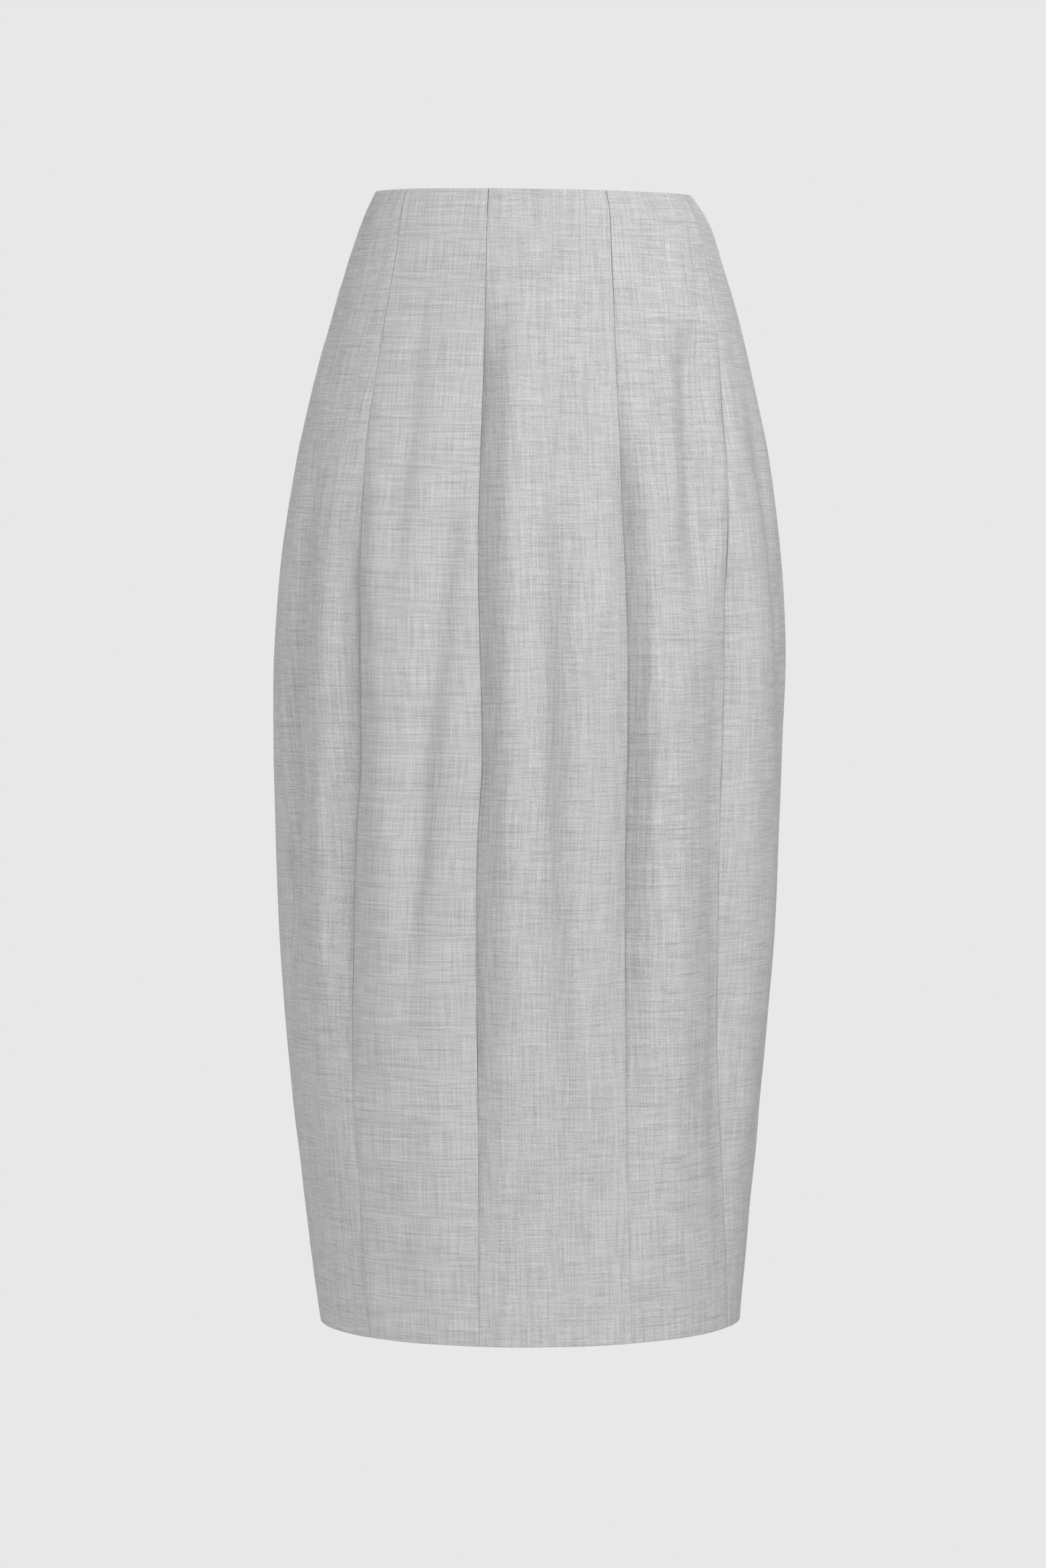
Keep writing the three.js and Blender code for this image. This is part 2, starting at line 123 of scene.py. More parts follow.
# A fold runs from `high` at its start through `middle` half way to `low` at its end, all angles. Its
# width is its half width in degrees, and it sinks by its depth, or stands out where that is less than 0.
FOLD_COLUMNS = ("start", "full", "ease", "end", "high", "middle", "low", "width", "depth")
FOLDS = (
    (200, 340, 620, 880, 49, 46, 66, 7, 12),
    (250, 390, 600, 800, 28, 28, 36, 6.5, -9),
    (75, 150, 240, 345, 44.5, 38, 35, 5, 12),
    (95, 165, 230, 330, 34, 28, 26, 4, -4),
    (120, 220, 300, 480, 68, 71, 74, 6, 7),
    (200, 340, 600, 780, 7, 4.5, 11, 4.5, -8),
    (60, 120, 480, 680, -9, -10, -9, 3.5, -6),
    (170, 280, 440, 600, -3, -3, -3, 3, 3),
    (120, 220, 480, 680, 21, 22, 21, 3, -3),
    (190, 280, 480, 630, -24, -29, -36, 4, 8),
    (140, 230, 330, 460, -31, -34, -35, 4, -4),
    (170, 260, 420, 780, -46, -39, -44, 5, -6),
    (60, 110, 170, 300, -39, -37, -34, 3, 3),
    (180, 280, 480, 640, -70, -72, -80, 4.5, 9),
    (250, 340, 520, 660, -57, -58, -62, 4.5, -5),
    (180, 300, 460, 700, 82, 80, 84, 6, 4),
    (140, 260, 430, 640, 110, 115, 109, 5, 7),
    (220, 340, 520, 760, 121, 124, 121, 5, -5),
    (190, 320, 500, 800, 146, 150, 142, 5, 10),
    (160, 260, 480, 700, 157, 158, 155, 3.5, -4),
    (230, 330, 520, 740, 172, 170, 173, 4, 5),
    (250, 370, 560, 780, -171, -174, -170, 4.5, 7),
    (150, 240, 420, 610, -152, -146, -150, 5, 8.5),
    (210, 330, 500, 690, -139, -137, -140, 5, -4),
    (120, 230, 420, 650, -116, -110, -117, 6, 7.5),
)
print("dips:", len(DIPS), "folds:", len(FOLDS))


# %% Read a table as a smooth curve
def curve(columns, rows, name, down):
    """A smooth curve through one column of a table, read at many heights at once."""
    table = np.array(rows, float)
    at, value = table[:, 0], table[:, columns.index(name)]
    last = len(at) - 1
    before, after = np.maximum(np.arange(last + 1) - 1, 0), np.minimum(np.arange(last + 1) + 1, last)
    slope = (value[after] - value[before]) / (at[after] - at[before])
    down = np.asarray(down, float)
    i = np.clip(np.searchsorted(at, down, side="right") - 1, 0, last - 1)
    span = at[i + 1] - at[i]
    t = np.clip((down - at[i]) / span, 0, 1)
    start = value[i] * (1 + 2 * t) * (1 - t) ** 2 + slope[i] * span * t * (1 - t) ** 2
    end = value[i + 1] * t * t * (3 - 2 * t) - slope[i + 1] * span * t * t * (1 - t)
    return start + end


def smoothstep(x, low, high):
    """0 up to the low bound, 1 from the high one, and a soft ramp between."""
    t = np.clip((np.asarray(x, float) - low) / (high - low), 0, 1)
    return t * t * (3 - 2 * t)


def seam_angle(seam, down):
    """The angle of a seam at each height; the centre back seam has an edge at either end."""
    if seam in ("centreL", "centreR"):
        return np.full(np.shape(down), 180.0 if seam == "centreL" else -180.0)
    column, side = BEHIND.get(seam, (seam, 1))
    return side * curve(SEAM_COLUMNS, SEAMS, column, down)


def section(name, down):
    return curve(SECTION_COLUMNS, SECTIONS, name, down)


print("girth at the hips, mm:", round(math.pi * (section("left", 340) + section("front", 340))))


# %% Dips and folds as one relief
def turn(start, end):
    """The shorter way round from one angle to another, in degrees."""
    return (end - start + 180) % 360 - 180


def bell(distance, width):
    return np.exp(-((distance / width) ** 2))


def dip_shape(across, left, right):
    """1 on the seam, falling away on each side: a valley with a sharp bottom and round shoulders."""
    reach = np.where(across < 0, left, right)
    return np.maximum(1 - np.abs(across) / reach, 0) ** DIP_SHARPNESS


def come_and_go(down, row):
    """The share of its full depth that a dip or fold has at each height."""
    opens = smoothstep(down, row["start"], row["full"])
    return opens * (1 - smoothstep(down, row["ease"], row["end"]))


def relief(angle, down):
    """How far the cloth stands out from the plain oval, in mm; dips and folds make it less than 0."""
    out = np.zeros(np.broadcast(angle, down).shape)
    for values in DIPS:
        dip = dict(zip(DIP_COLUMNS, values))
        across = turn(seam_angle(dip["seam"], down), angle)
        out -= dip["depth"] * come_and_go(down, dip) * dip_shape(across, dip["left"], dip["right"])
    for values in FOLDS:
        fold = dict(zip(FOLD_COLUMNS, values))
        t = np.clip((down - fold["start"]) / (fold["end"] - fold["start"]), 0, 1)
        bow = fold["middle"] - (fold["high"] + fold["low"]) / 2
        path = fold["high"] + (fold["low"] - fold["high"]) * t + 4 * bow * t * (1 - t)
        out -= fold["depth"] * come_and_go(down, fold) * bell(turn(path, angle), fold["width"])
    return out


# %% From angle and length to a place
def half_axes(angle, down):
    """Half the width and half the depth of the oval on the side where a point lies."""
    sine, cosine = np.sin(np.radians(angle)), np.cos(np.radians(angle))
    across = np.where(sine < 0, section("right", down), section("left", down))
    deep = np.where(cosine < 0, section("back", down), section("front", down))
    return across, deep


def arc_per_degree(angle, down):
    """Millimetres round the oval for each degree."""
    across, deep = half_axes(angle, down)
    turned = np.radians(angle)
    return np.radians(np.hypot(across * np.cos(turned), deep * np.sin(turned)))


def height(angle, down):
    """The waist edge dips in front and tilts, and the hem drops in front."""
    facing = np.maximum(np.cos(np.radians(angle)), 0)
    top = -WAIST_DIP * facing - WAIST_TILT * (1 + np.sin(np.radians(angle)))
    return top + (-LENGTH - HEM_DROP * facing - top) * down / LENGTH


def cloth_point(angle, down, outward=0.0):
    """Points of the cloth in metres, or of what lies some mm outward of its face."""
    across, deep = half_axes(angle, down)
    turned = np.radians(angle)
    normal = np.stack([np.sin(turned) / across, -np.cos(turned) / deep])
    normal = normal / np.hypot(*normal)
    offset = relief(angle, down) + outward
    x = across * np.sin(turned) + normal[0] * offset
    y = -deep * np.cos(turned) + normal[1] * offset
    return np.stack([x, y, height(angle, down) + 0 * x], -1) * MM


# %% [markdown]
# ## Camera, floor and light
#
# The skirt is seen a little from its right, from four metres away through a long lens, so that its
# outline hardly tapers. The pale backdrop gives half the light, from all round. The key lamp stands
# high in front, to the right of the view, so the side of a fold that faces left falls into soft
# shade, and every seam lies in such a valley. Weaker lamps at the left, low in front and behind fill
# in what the key leaves dark.

# %% Camera
CAMERA = {"azimuth": -7.2, "elevation": 2.2, "distance": 4.0, "lens": 122.5}
AIM = {"sideways": -0.0065, "height": -0.442}


def direction(azimuth, elevation):
    """From the skirt towards a place at an azimuth, 0 in front and 90 at its left, and elevation."""
    a, e = math.radians(azimuth), math.radians(elevation)
    return np.array([math.sin(a) * math.cos(e), -math.cos(a) * math.cos(e), math.sin(e)])


def look(thing, place, at):
    """Puts a camera or lamp at a place, facing a point."""
    thing.location = Vector(place)
    thing.rotation_euler = (Vector(at) - Vector(place)).to_track_quat("-Z", "Y").to_euler()


def add_camera():
    data = bpy.data.cameras.new("camera")
    data.lens = CAMERA["lens"]
    camera = bpy.data.objects.new("camera", data)
    bpy.context.scene.collection.objects.link(camera)
    turned = math.radians(CAMERA["azimuth"])
    right = np.array([math.cos(turned), math.sin(turned), 0])
    aim = right * AIM["sideways"] + np.array([0, 0, AIM["height"]])
    place = aim + direction(CAMERA["azimuth"], CAMERA["elevation"]) * CAMERA["distance"]
    look(camera, place, aim)
    bpy.context.scene.camera = camera
    return camera


camera = add_camera()
print("camera at", [round(c, 3) for c in camera.location])

# %% Short ways to add a node
def put(socket, value, tree):
    """Links an output to a socket, or sets the socket to a plain value."""
    if isinstance(value, bpy.types.NodeSocket):
        tree.links.new(value, socket)
    else:
        socket.default_value = value


def maths(tree, operation, *values):
    node = tree.nodes.new("ShaderNodeMath")
    node.operation = operation
    for socket, value in zip(node.inputs, values):
        put(socket, value, tree)
    return node.outputs["Value"]


def vector_maths(tree, operation, *values):
    node = tree.nodes.new("ShaderNodeVectorMath")
    node.operation = operation
    for socket, value in zip(node.inputs, values):
        put(socket, value, tree)
    return node.outputs["Vector"]


def span(tree, value, low, high, to_low=0.0, to_high=1.0):
    """Eases a value between two bounds into a new range."""
    node = tree.nodes.new("ShaderNodeMapRange")
    node.interpolation_type = "SMOOTHSTEP"
    bounds = {"Value": value, "From Min": low, "From Max": high, "To Min": to_low, "To Max": to_high}
    for label, bound in bounds.items():
        put(node.inputs[label], bound, tree)
    return node.outputs["Result"]


def blend(tree, factor, first, second):
    node = tree.nodes.new("ShaderNodeMix")
    node.data_type = "RGBA"
    colours = [socket for socket in node.inputs if socket.type == "RGBA"]
    put(node.inputs["Factor"], factor, tree)
    put(colours[0], first if isinstance(first, bpy.types.NodeSocket) else (*first, 1), tree)
    put(colours[1], second if isinstance(second, bpy.types.NodeSocket) else (*second, 1), tree)
    return next(socket for socket in node.outputs if socket.type == "RGBA")


# %% Lamps and backdrop
MIDDLE = (0, 0, -0.42)  # where the lamps point
LAMPS = (
    {"name": "key", "azimuth": 28, "elevation": 42, "watts": 49, "colour": (0.985, 0.985, 1)},
    {"name": "left", "azimuth": -97, "elevation": 20, "watts": 25, "colour": (1, 0.98, 0.94)},
    {"name": "low", "azimuth": -7, "elevation": -32, "watts": 24, "colour": (1, 1, 1)},
    {"name": "back", "azimuth": 165, "elevation": 20, "watts": 40, "colour": (1, 1, 1)},
)
LAMP_DISTANCE = 2.6
LAMP_SIZE = 1.2
BACKDROP = (0.808, 0.808, 0.808)  # the pale backdrop as the camera sees it
AMBIENT = (0.448, 0.444, 0.445)  # the same backdrop as light on the cloth


def add_lamp(name, azimuth, elevation, watts, colour):
    data = bpy.data.lights.new(name, "AREA")
    data.shape, data.size = "DISK", LAMP_SIZE
    data.energy, data.color = watts, colour
    lamp = bpy.data.objects.new(name, data)
    bpy.context.scene.collection.objects.link(lamp)
    look(lamp, np.array(MIDDLE) + direction(azimuth, elevation) * LAMP_DISTANCE, MIDDLE)
    return lamp


def add_backdrop():
    world = bpy.data.worlds.new("backdrop")
    bpy.context.scene.world = world
    world.use_nodes = True
    tree = world.node_tree
    tree.nodes.clear()
    path = tree.nodes.new("ShaderNodeLightPath")
    background = tree.nodes.new("ShaderNodeBackground")
    output = tree.nodes.new("ShaderNodeOutputWorld")
    colour = blend(tree, path.outputs["Is Camera Ray"], AMBIENT, BACKDROP)
    tree.links.new(colour, background.inputs["Color"])
    tree.links.new(background.outputs["Background"], output.inputs["Surface"])


for lamp in LAMPS:
    add_lamp(**lamp)
add_backdrop()
bpy.context.scene.view_settings.view_transform = "Standard"
print("lamps:", [lamp["name"] for lamp in LAMPS])

# %% [markdown]
# The Standard view transform shows the pale greys as they are. The film-like default would squeeze
# them together, and the soft folds would nearly vanish. The lamps' colours differ a little: the shade
# at the left is warmer than the rest.
#
# The floor is a pale disc well below the hem. Its rim fades out, so that it meets the backdrop
# without a line.

# %% Floor
FLOOR_RADIUS = 0.6
FLOOR_HEIGHT = -1.15
FLOOR_FADE = 0.35  # share of the radius over which the rim fades
FLOOR_GREY = (0.58, 0.58, 0.58)


def dress(thing, material):
    """Gives a piece one material in place of any that it has."""
    thing.data.materials.clear()
    thing.data.materials.append(material)


def floor_material():
    material = bpy.data.materials.new("floor")
    material.use_nodes = True
    tree = material.node_tree
    shader = tree.nodes["Principled BSDF"]
    shader.inputs["Base Color"].default_value = (*FLOOR_GREY, 1)
    shader.inputs["Roughness"].default_value = 0.9
    shader.inputs["Specular IOR Level"].default_value = 0.1
    place = tree.nodes.new("ShaderNodeTexCoord").outputs["Object"]
    flat = vector_maths(tree, "MULTIPLY", place, (1 / FLOOR_RADIUS, 1 / FLOOR_RADIUS, 0))
    reach = tree.nodes.new("ShaderNodeVectorMath")
    reach.operation = "LENGTH"
    put(reach.inputs[0], flat, tree)
    put(shader.inputs["Alpha"], span(tree, reach.outputs["Value"], 1, 1 - FLOOR_FADE), tree)
    return material


def add_floor():
    bpy.ops.object.select_all(action="DESELECT")
    bpy.ops.mesh.primitive_circle_add(
        vertices=96, radius=FLOOR_RADIUS, fill_type="NGON", location=(0, 0, FLOOR_HEIGHT))
    floor = bpy.context.object
    bpy.ops.object.transform_apply(location=True, rotation=True, scale=True)
    floor.name = "floor"
    dress(floor, floor_material())
    return floor


floor = add_floor()
print("floor at", FLOOR_HEIGHT)

# %% [markdown]
# ## The panels
#
# A sewn panel isn't a bare rectangle. Its long edges are sewn to its neighbours and pressed open, so
# each rolls over a tight radius and runs back inside as a seam allowance. The hem is turned up and
# the waist edge turned in. One grid of points follows all of that, so the cloth is one sheet, and
# Solidify gives it its thickness. Columns crowd at the seams, where the cloth turns most.

# %% Sizes of the sewing
THICKNESS = 0.5  # of the cloth
ROLL_STEPS = 4  # from the face to the outermost place of a rolled edge
ROLL_SHOWN = ROLL_STEPS + 1  # points of a roll that still show
SEAM_ROLL = {"width": 0.16, "depth": 0.6}  # of the turn at a seam, tighter than round
HALF_PARTING = 0.01  # between two panels at a seam
WAIST_PARTING = 0.18  # near the waist, where the seams are pulled open
WAIST_PARTING_FADE = (60, 160)  # down the skirt, where that parting closes
HINGE_DOWN = 9  # how far below the waist edge the zip's pull tab hangs
SLOT = {"half_width": 1.1, "above": 2.6, "below": 4.2, "ramp": 0.5}  # parting of the seam round it
ALLOWANCE = 11  # width of a seam allowance
HEM_ROLL = {"width": 1.1, "depth": 1.1}  # of the turn at the hem and the waist edge
HEM_TURN = 38  # depth of the turned-up hem
WAIST_TURN = 20
ZIP_CLEAR = 16  # the waist edge isn't turned in this close to the zip
ROW_STEP = 4.5  # between rows of the grid of points
COLUMN_STEP = 4.2  # between columns in the middle of a panel
ARC_STEPS = 60  # of the ruler that turns angles into lengths round the oval
EDGE_COLUMNS = (1.2, 2, 3, 4.5, 6.5, 9, 12)  # distances from the seam, past the roll

PANELS = (
    {"name": "front_centre", "from": "inR", "to": "inL"},
    {"name": "front_mid_left", "from": "inL", "to": "outL"},
    {"name": "front_mid_right", "from": "outR", "to": "inR"},
    {"name": "front_side_left", "from": "outL", "to": "sideL"},
    {"name": "front_side_right", "from": "sideR", "to": "outR"},
    {"name": "back_side_left", "from": "sideL", "to": "backOutL"},
    {"name": "back_side_right", "from": "backOutR", "to": "sideR"},
    {"name": "back_mid_left", "from": "backOutL", "to": "backInL"},
    {"name": "back_mid_right", "from": "backInR", "to": "backOutR"},
    {"name": "back_centre_left", "from": "backInL", "to": "centreL"},
    {"name": "back_centre_right", "from": "centreR", "to": "backInR"},
)
print("panels:", len(PANELS), "cloth", THICKNESS, "mm thick")


# %% Rolled edges
def edge_profile(roll, turned_to):
    """In order from the face to the free edge inside: distance in, depth, and length of cloth."""
    theta = np.linspace(0, math.pi, 2 * ROLL_STEPS + 1)
    flat = np.array(turned_to, float)
    inward = np.concatenate([roll["width"] * (1 - np.sin(theta)), flat])
    depth = np.concatenate([-roll["depth"] * (1 - np.cos(theta)), np.full(len(flat), -2 * roll["depth"])])
    length = np.concatenate([roll["depth"] * theta, roll["depth"] * math.pi + flat - roll["width"]])
    return inward, depth, length


def half_parting(seam, down):
    """Half the parting of two panels; the centre back seam opens round the zip's slider."""
    half = WAIST_PARTING + (HALF_PARTING - WAIST_PARTING) * smoothstep(down, *WAIST_PARTING_FADE)
    if seam not in ("centreL", "centreR"):
        return half
    start, end = HINGE_DOWN - SLOT["above"], HINGE_DOWN + SLOT["below"]
    opens = smoothstep(down, start - SLOT["ramp"], start) - smoothstep(down, end, end + SLOT["ramp"])
    return half + (SLOT["half_width"] - half) * opens


# %% [markdown]
# Near a seam the cloth also shows how it was sewn. The pressed-open allowance lies just under the
# face and lifts it a little. The stitching draws in the edges, one more than the other, and does so
# unevenly, so that the seam puckers. And the whole cloth is never quite smooth, though at the side
# and back seams this unevenness dies away, so that the two edges meet. These small forms are added
# to the large ones as an extra relief, from sums of waves whose lengths don't divide each other, so
# that nothing repeats.

# %% Small relief
ALLOWANCE_LIFT = 0.35  # how far the pressed allowance lifts the face
PUCKER = 0.22
PUCKER_REACH = 9  # from the seam
PUCKER_WAVES = (23, 37, 61, 14.3)
UNEVEN = 0.5
UNEVEN_DOWN = (173, 251, 97)  # wave lengths down the skirt
UNEVEN_ROUND = (61, 97, 143)  # and round the body
ROUND_BODY = 3.1  # mm for each degree, about
CALM_REACH = 30  # over which a side or back seam calms the unevenness
SINK_REACH = 3.4
SINK_FADE = (70, 220)  # down the skirt, where the drawing in sets on
# How far a seam draws in the edges of the panels to its left and right, as seen from outside. Less
# than 0 lifts the edge.
SINKS = {
    "outR": (0.8, 0.9),
    "inR": (-1.2, -0.7),
    "inL": (0.1, 1.2),
    "outL": (1.0, 0.6),
    "backOutL": (0.4, 0.9),
    "backInL": (0.6, 0.9),
    "backInR": (0.8, 0.5),
    "backOutR": (0.7, 0.7),
}


def waves(x, lengths, phases):
    """A sum of sine waves, about 1 high."""
    total = sum(np.sin(2 * math.pi * x / length + phase) for length, phase in zip(lengths, phases))
    return total / math.sqrt(len(lengths))


def small_relief(from_left, from_right, angle, down, phase, sinks, calm):
    """Extra relief in mm, from the distances to the panel's two seams."""
    out = np.zeros(np.broadcast(from_left, down).shape)
    uneven = UNEVEN + out
    for k, distance in enumerate((from_left, from_right)):
        lift = 1 - smoothstep(distance, ALLOWANCE - 2, ALLOWANCE + 1.5)
        sink = sinks[k] * smoothstep(down, *SINK_FADE)
        out += ALLOWANCE_LIFT * lift - sink * np.exp(-np.maximum(distance, 0) / SINK_REACH)
        shift = phase + 2.1 * k
        pull = waves(down, PUCKER_WAVES, (shift, 2 * shift, 3 * shift, shift + 1))
        out += PUCKER * pull * bell(distance, PUCKER_REACH) * smoothstep(distance, 0, 2)
        if calm[k]:
            uneven *= smoothstep(distance, 0, CALM_REACH)
    round_body = angle * ROUND_BODY
    along = waves(down + 0.5 * round_body, UNEVEN_DOWN, (phase, phase + 2, 1))
    around = waves(round_body - 0.2 * down, UNEVEN_ROUND, (0.4, 2 * phase, phase))
    out += uneven * along * around
    return out


print("seams drawn in:", sorted(SINKS))


# %% Build a panel
def panel_rows():
    """Down the panel from the free edge at the waist: each row's distance down, its depth, its
    length along the cloth, what it belongs to, and whether it lies on a turned edge."""
    inward, depth, length = edge_profile(HEM_ROLL, (6, 13, WAIST_TURN))
    hem_in, hem_depth, hem_length = edge_profile(HEM_ROLL, (10, 20, 30, HEM_TURN))
    edge = HEM_ROLL["width"]
    plain = np.linspace(edge, LENGTH - edge, round(LENGTH / ROW_STEP) + 1)[1:-1]
    slot = [HINGE_DOWN - SLOT["above"] - 0.5, HINGE_DOWN - SLOT["above"], HINGE_DOWN + 1]
    slot += [HINGE_DOWN + SLOT["below"], HINGE_DOWN + SLOT["below"] + 0.5]
    plain = np.sort(np.concatenate([plain, slot]))
    down = np.concatenate([inward[::-1], plain, LENGTH - hem_in])
    out = np.concatenate([depth[::-1], 0 * plain, hem_depth])
    cloth = np.concatenate([edge - length[::-1], plain, LENGTH - edge + hem_length])
    kind = np.full(len(down), "face", dtype=object)
    kind[: len(inward) - ROLL_SHOWN] = "waist"
    kind[len(down) - len(hem_in) + ROLL_SHOWN:] = "hem"
    rolled = np.zeros(len(down), bool)
    rolled[: len(inward)] = rolled[len(down) - len(hem_in):] = True
    return down, out, cloth, kind, rolled


def panel_ruler(panel, down):
    """Angles from seam to seam at each height, and how far round the oval each lies in mm."""
    start = seam_angle(panel["from"], down)
    end = seam_angle(panel["to"], down)
    share = np.linspace(0, 1, ARC_STEPS + 1)
    angles = start[:, None] + (end - start)[:, None] * share
    per = arc_per_degree(angles, down[:, None])
    steps = np.diff(angles, axis=1) * (per[:, 1:] + per[:, :-1]) / 2
    arcs = np.concatenate([np.zeros((len(down), 1)), np.cumsum(steps, axis=1)], axis=1)
    return angles, arcs


def edge_columns():
    """Columns from an allowance's free edge to past the seam: place, depth and length of cloth."""
    seam_in, seam_depth, seam_cloth = edge_profile(SEAM_ROLL, (2.5, 5, 8, ALLOWANCE))
    near = np.array(EDGE_COLUMNS)
    place = np.concatenate([seam_in[::-1], near])
    depth = np.concatenate([seam_depth[::-1], 0 * near])
    cloth = np.concatenate([SEAM_ROLL["width"] - seam_cloth[::-1], near])
    return place, depth, cloth, len(seam_in) - ROLL_SHOWN


def panel_columns(panel, down, total, edge, middle_count):
    """How far round the oval each point lies from the panel's first seam."""
    left = half_parting(panel["from"], down)
    last = total - half_parting(panel["to"], down)
    rows = []
    for row in range(len(down)):
        inner = np.linspace(left[row] + edge[-1], last[row] - edge[-1], middle_count + 2)[1:-1]
        rows.append(np.concatenate([left[row] + edge, inner, (last[row] - edge)[::-1]]))
    return np.array(rows)


def build_panel(panel, phase):
    """The grid of points of a panel, with what its cells need to know."""
    down, out, cloth, kind, rolled = panel_rows()
    angles, arcs = panel_ruler(panel, down)
    total = arcs[:, -1]
    edge, edge_depth, edge_cloth, flap = edge_columns()
    middle_count = max(int(total.max() / COLUMN_STEP) - 5, 4)
    across = panel_columns(panel, down, total, edge, middle_count)
    depth = np.concatenate([edge_depth, np.zeros(middle_count), edge_depth[::-1]])
    angle = np.stack([np.interp(across[r], arcs[r], angles[r]) for r in range(len(down))])
    sinks = SINKS.get(panel["from"], (0, 0))[1], SINKS.get(panel["to"], (0, 0))[0]
    calm = [panel[end].startswith(("side", "back", "centre")) for end in ("from", "to")]
    fine = small_relief(across, total[:, None] - across, angle, down[:, None], phase, sinks, calm)
    points = cloth_point(angle, down[:, None], depth[None, :] + out[:, None] + fine)
    cloth_across = across.copy()
    cloth_across[:, :len(edge)] = edge_cloth
    cloth_across[:, -len(edge):] = total[:, None] - edge_cloth[::-1]
    cloth_down = np.broadcast_to(cloth[:, None], across.shape)
    uv = np.stack([cloth_across - total[:, None] / 2, cloth_down], -1) * MM
    hidden = np.zeros(across.shape[1], bool)
    hidden[:flap] = hidden[-flap:] = True
    return {"points": points, "uv": uv, "kind": kind, "rolled": rolled, "hidden": hidden,
            "from_left": across, "from_right": total[:, None] - across}


def keep_cell(panel, grid, row, column):
    """False where a cell would be cloth folded twice over, or lie in the way of the zip."""
    kinds = grid["kind"][row], grid["kind"][row + 1]
    turned = kinds != ("face", "face") or grid["rolled"][row] or grid["rolled"][row + 1]
    if turned and (grid["hidden"][column] or grid["hidden"][column + 1]):
        return False
    if "waist" in kinds:
        if panel["to"] == "centreL" and grid["from_right"][row, column] < ZIP_CLEAR:
            return False
        if panel["from"] == "centreR" and grid["from_left"][row, column + 1] < ZIP_CLEAR:
            return False
    return True


def grid_faces(rows, columns, keep):
    """Four-sided faces over a grid of points, in every cell that is kept."""
    faces = []
    for row in range(rows - 1):
        for column in range(columns - 1):
            if keep(row, column):
                a, b = row * columns + column, (row + 1) * columns + column
                faces.append((a, b, b + 1, a + 1))
    return faces


def add_mesh(name, points, faces, uv=None):
    """A new mesh object from points and faces; uv has one pair for each point."""
    used = sorted({p for face in faces for p in face})
    index = {p: k for k, p in enumerate(used)}
    mesh = bpy.data.meshes.new(name)
    mesh.from_pydata([tuple(points[p]) for p in used], [], [[index[p] for p in f] for f in faces])
    if uv is not None:
        layer = mesh.uv_layers.new(name="cloth")
        corners = np.array([uv[used[loop.vertex_index]] for loop in mesh.loops], np.float32)
        layer.data.foreach_set("uv", corners.ravel())
    mesh.polygons.foreach_set("use_smooth", [True] * len(mesh.polygons))
    thing = bpy.data.objects.new(name, mesh)
    bpy.context.scene.collection.objects.link(thing)
    return thing


def solidify(thing, thickness):
    """Gives a sheet its thickness in mm, inward from its face."""
    modifier = thing.modifiers.new("thickness", "SOLIDIFY")
    modifier.thickness, modifier.offset = thickness * MM, -1
    bpy.ops.object.select_all(action="DESELECT")
    thing.select_set(True)
    bpy.context.view_layer.objects.active = thing
    bpy.ops.object.modifier_apply(modifier="thickness")


def add_panel(panel, phase):
    grid = build_panel(panel, phase)
    points = grid["points"]
    rows, columns = points.shape[:2]
    faces = grid_faces(rows, columns, lambda row, column: keep_cell(panel, grid, row, column))
    uv = grid["uv"].reshape(-1, 2)
    cloth = add_mesh("cloth_" + panel["name"], points.reshape(-1, 3), faces, uv)
    solidify(cloth, THICKNESS)
    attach(cloth, "skirt")
    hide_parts(panel["name"])
    return cloth


cloth_panels = [add_panel(panel, 1.7 * k + 0.3) for k, panel in enumerate(PANELS)]

# %% [markdown]
# ## Melange wool
#
# The cloth is a plain weave of light and dark grey wool spun together. Four things show in it. Slubs,
# the thick dark places in the yarn that runs across, draw thin broken lines along the rows of the
# weave. The yarns that run down draw shorter, fainter streaks. Under both lies the weave itself, one
# yarn over and one under. And the whole cloth is flecked, a little bluer here and warmer there.
#
# All of it is worked out from the cloth coordinates that each panel carries, in millimetres across
# and down, so that it follows the cut of each panel as a woven cloth does. Each effect is a node
# group with named sockets, and a group gives only values, so it can be used again elsewhere.

# %% Node groups
WEFT_SLUB = {"across": 44, "down": 0.9}  # size of a slub in mm
WEFT = {"across": 24, "down": 0.7}  # of lighter and darker stretches of one yarn across
WARP = {"across": 0.72, "down": 34}  # and of one yarn down
GRAIN = {"across": 1.0, "down": 0.8}
BAND = {"across": 110, "down": 7}  # of a few rows that came out darker
PATCH = {"across": 38, "down": 17}  # of places with more slubs and with fewer
FLECK = {"across": 3.2, "down": 1.6}
YARN_PITCH = 0.85  # from one yarn to the next
LIGHT_WOOL = (0.598, 0.598, 0.602)
DARK_WOOL = (0.308, 0.307, 0.308)
COOL_WOOL = (0.431, 0.430, 0.470)
WARM_WOOL = (0.431, 0.430, 0.396)


def new_group(name, inputs, outputs):
    """An empty node group, its input and output nodes; sockets are (name, kind) pairs."""
    group = bpy.data.node_groups.new(name, "ShaderNodeTree")
    for label, kind in inputs:
        group.interface.new_socket(label, in_out="INPUT", socket_type="NodeSocket" + kind)
    for label, kind in outputs:
        group.interface.new_socket(label, in_out="OUTPUT", socket_type="NodeSocket" + kind)
    return group, group.nodes.new("NodeGroupInput"), group.nodes.new("NodeGroupOutput")


